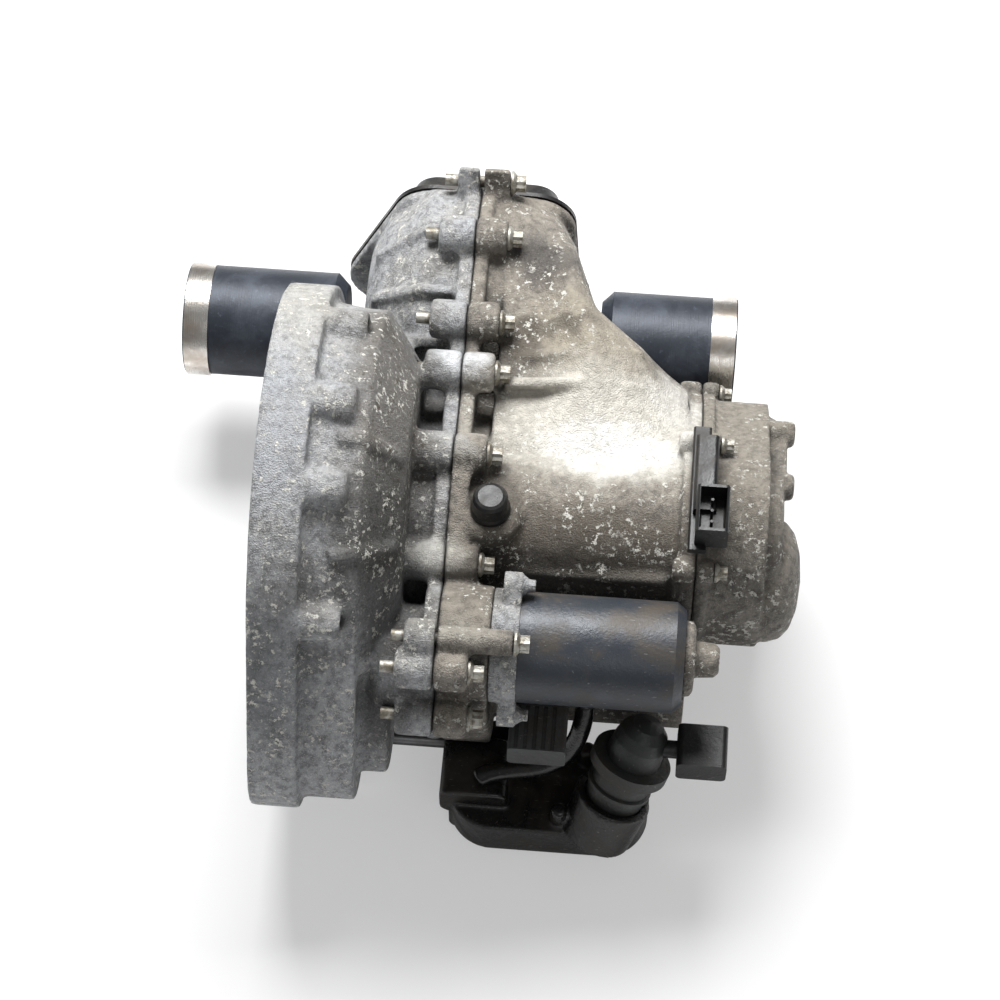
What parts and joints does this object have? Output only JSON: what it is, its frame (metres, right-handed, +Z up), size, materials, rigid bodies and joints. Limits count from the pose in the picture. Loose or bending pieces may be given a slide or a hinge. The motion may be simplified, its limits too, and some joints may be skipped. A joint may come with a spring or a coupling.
{
  "type": "automated manual transmission",
  "caption": "Transverse gearbox with open bell housing, shift motor, clutch actuator, gear train and differential with two drive shaft cups.",
  "frame": {"origin": "on the input shaft's axis, in the engine mating face", "axes": "+X along the shafts away from the engine, +Y to the rear (the differential side), +Z up"},
  "size_m": [0.44, 0.4776, 0.316],
  "materials": {
    "cast_case": "as-cast grey with dust and oil stains",
    "gear_case_cast": "as-cast, chalky and brown with road dirt",
    "bolt_zinc": "yellow zinc plate",
    "gear_steel": "ground and oiled",
    "bearing_steel": "polished",
    "dark_iron": "blue-black machined iron",
    "band_steel": "bright turned ring",
    "pan_black": "black pressed sheet",
    "motor_paint": "dark grey-blue satin",
    "motor_cast": "dull cast metal",
    "magnet": "dark ferrite",
    "black_plastic": "black moulded plastic",
    "grey_plastic": "grey moulded plastic",
    "seal_rubber": "black rubber",
    "actuator_black": "black, greasy"
  },
  "bodies": {
    "casing": {"clutch_housing": "cast_case", "gear_case": "gear_case_cast", "end_cover": "cast_case", "diff_cover": "pan_black", "split_bolts": "bolt_zinc", "cover_bolts": "bolt_zinc", "reverse_shaft": "gear_steel", "fork_second_third": "gear_steel", "fork_fourth_fifth": "gear_steel", "fork_rod": "gear_steel", "wheel_pin": "gear_steel", "motor_can": "motor_paint", "motor_magnets": "magnet", "motor_end": "motor_cast", "motor_plate": "motor_cast", "output_seals": "seal_rubber", "guide_tube": "gear_steel", "lever_stud": "gear_steel", "actuator_body": "actuator_black", "actuator_housing": "actuator_black", "breather_cap": "black_plastic", "speed_sensor": "black_plastic", "connector_block": "grey_plastic", "actuator_plug": "black_plastic", "shaft_bearings": "bearing_steel", "diff_bearings": "bearing_steel"},
    "input": {"input_shaft": "gear_steel", "input_races": "bearing_steel"},
    "first_gear": {"first_gear": "gear_steel"},
    "second_gear": {"second_gear": "gear_steel"},
    "third_gear": {"third_gear": "gear_steel"},
    "fourth_gear": {"fourth_gear": "gear_steel"},
    "fifth_gear": {"fifth_gear": "gear_steel"},
    "reverse_idler": {"reverse_idler": "gear_steel"},
    "reverse_gear": {"reverse_gear": "gear_steel"},
    "output": {"output_shaft": "gear_steel", "synchro_hubs": "gear_steel", "output_races": "bearing_steel", "sleeve_second_third": "gear_steel", "sleeve_fourth_fifth": "gear_steel"},
    "sleeve_first_reverse": {"sleeve_first_reverse": "gear_steel"},
    "fork_first_reverse": {"fork_first_reverse": "gear_steel"},
    "drum": {"shift_drum": "gear_steel"},
    "shift_wheel": {"shift_wheel": "gear_steel"},
    "motor_armature": {"motor_armature": "gear_steel"},
    "carrier": {"diff_carrier": "dark_iron", "ring_gear": "gear_steel", "spider_pin": "gear_steel", "diff_races": "bearing_steel"},
    "left_output": {"left_output_cup": "dark_iron", "left_side_gear": "gear_steel", "left_cup_band": "band_steel"},
    "right_output": {"right_output_cup": "dark_iron", "right_side_gear": "gear_steel", "right_cup_band": "band_steel"},
    "upper_spider": {"upper_spider_gear": "gear_steel"},
    "lower_spider": {"lower_spider_gear": "gear_steel"},
    "release_lever": {"release_lever": "gear_steel"},
    "release_bearing": {"release_bearing": "bearing_steel"},
    "push_rod": {"push_rod": "gear_steel"}
  },
  "joints": [
    {"name": "input_spin", "type": "hinge", "parent": "casing", "child": "input", "pos_m": [0, 0, 0], "axis": [1, 0, 0], "continuous": true},
    {"name": "first_gear_spin", "type": "hinge", "parent": "casing", "child": "first_gear", "pos_m": [0, 0.06115, -0.04342], "axis": [1, 0, 0], "continuous": true},
    {"name": "second_gear_spin", "type": "hinge", "parent": "casing", "child": "second_gear", "pos_m": [0, 0.06115, -0.04342], "axis": [1, 0, 0], "continuous": true},
    {"name": "third_gear_spin", "type": "hinge", "parent": "casing", "child": "third_gear", "pos_m": [0, 0.06115, -0.04342], "axis": [1, 0, 0], "continuous": true},
    {"name": "fourth_gear_spin", "type": "hinge", "parent": "casing", "child": "fourth_gear", "pos_m": [0, 0.06115, -0.04342], "axis": [1, 0, 0], "continuous": true},
    {"name": "fifth_gear_spin", "type": "hinge", "parent": "casing", "child": "fifth_gear", "pos_m": [0, 0.06115, -0.04342], "axis": [1, 0, 0], "continuous": true},
    {"name": "reverse_idler_spin", "type": "hinge", "parent": "casing", "child": "reverse_idler", "pos_m": [0, -0.01384, -0.04282], "axis": [1, 0, 0], "continuous": true},
    {"name": "reverse_gear_spin", "type": "hinge", "parent": "casing", "child": "reverse_gear", "pos_m": [0, 0.06115, -0.04342], "axis": [1, 0, 0], "continuous": true},
    {"name": "carrier_spin", "type": "hinge", "parent": "casing", "child": "carrier", "pos_m": [0, 0.182, -0.056], "axis": [1, 0, 0], "continuous": true},
    {"name": "output_spin", "type": "hinge", "parent": "casing", "child": "output", "pos_m": [0, 0.06115, -0.04342], "axis": [1, 0, 0], "continuous": true},
    {"name": "left_output_spin", "type": "hinge", "parent": "carrier", "child": "left_output", "pos_m": [0, 0.182, -0.056], "axis": [1, 0, 0], "continuous": true},
    {"name": "right_output_spin", "type": "hinge", "parent": "carrier", "child": "right_output", "pos_m": [0, 0.182, -0.056], "axis": [1, 0, 0], "continuous": true},
    {"name": "upper_spider_spin", "type": "hinge", "parent": "carrier", "child": "upper_spider", "pos_m": [0.105, 0.182, -0.056], "axis": [0, 0, 1], "continuous": true},
    {"name": "lower_spider_spin", "type": "hinge", "parent": "carrier", "child": "lower_spider", "pos_m": [0.105, 0.182, -0.056], "axis": [0, 0, 1], "continuous": true},
    {"name": "drum_turn", "type": "hinge", "parent": "casing", "child": "drum", "pos_m": [0, -0.066, -0.08], "axis": [1, 0, 0], "range_deg": [-52, 52]},
    {"name": "fork_first_reverse_slide", "type": "slide", "parent": "casing", "child": "fork_first_reverse", "axis": [1, 0, 0], "range_m": [-0.0081, 0.0081]},
    {"name": "sleeve_first_reverse_slide", "type": "slide", "parent": "output", "child": "sleeve_first_reverse", "axis": [1, 0, 0], "range_m": [-0.0081, 0.0081]},
    {"name": "shift_wheel_turn", "type": "hinge", "parent": "casing", "child": "shift_wheel", "pos_m": [0, -0.09182, -0.03257], "axis": [1, 0, 0], "range_deg": [-230, 230]},
    {"name": "motor_armature_turn", "type": "hinge", "parent": "casing", "child": "motor_armature", "pos_m": [0, -0.098, 0.012], "axis": [1, 0, 0], "range_deg": [-917, 917]},
    {"name": "release_lever_swing", "type": "hinge", "parent": "casing", "child": "release_lever", "pos_m": [0.061, 0.02908, 0.04311], "axis": [0, 0.829, -0.5592], "range_deg": [0, 8.8]},
    {"name": "release_bearing_slide", "type": "slide", "parent": "casing", "child": "release_bearing", "axis": [-1, 0, 0], "range_m": [0, 0.0081]},
    {"name": "push_rod_slide", "type": "slide", "parent": "casing", "child": "push_rod", "axis": [-1, 0, 0], "range_m": [0, 0.0346]}
  ],
  "couplings": [
    {"joint": "first_gear_spin", "follows": "input_spin", "ratio": -0.31579},
    {"joint": "second_gear_spin", "follows": "input_spin", "ratio": -0.51515},
    {"joint": "third_gear_spin", "follows": "input_spin", "ratio": -0.72414},
    {"joint": "fourth_gear_spin", "follows": "input_spin", "ratio": -1},
    {"joint": "fifth_gear_spin", "follows": "input_spin", "ratio": -1.381},
    {"joint": "reverse_idler_spin", "follows": "input_spin", "ratio": -0.66667},
    {"joint": "reverse_gear_spin", "follows": "input_spin", "ratio": 0.375},
    {"joint": "output_spin", "follows": "carrier_spin", "ratio": -4.0625},
    {"joint": "right_output_spin", "follows": "left_output_spin", "ratio": -1},
    {"joint": "upper_spider_spin", "follows": "left_output_spin", "ratio": 1.6},
    {"joint": "lower_spider_spin", "follows": "left_output_spin", "ratio": -1.6},
    {"joint": "fork_first_reverse_slide", "follows": "drum_turn", "m_per_rad": 0.0088147},
    {"joint": "sleeve_first_reverse_slide", "follows": "drum_turn", "m_per_rad": 0.0088147},
    {"joint": "shift_wheel_turn", "follows": "drum_turn", "ratio": -4.4},
    {"joint": "motor_armature_turn", "follows": "drum_turn", "ratio": 17.6},
    {"joint": "release_bearing_slide", "follows": "release_lever_swing", "m_per_rad": 0.052},
    {"joint": "push_rod_slide", "follows": "release_lever_swing", "m_per_rad": 0.224}
  ]
}
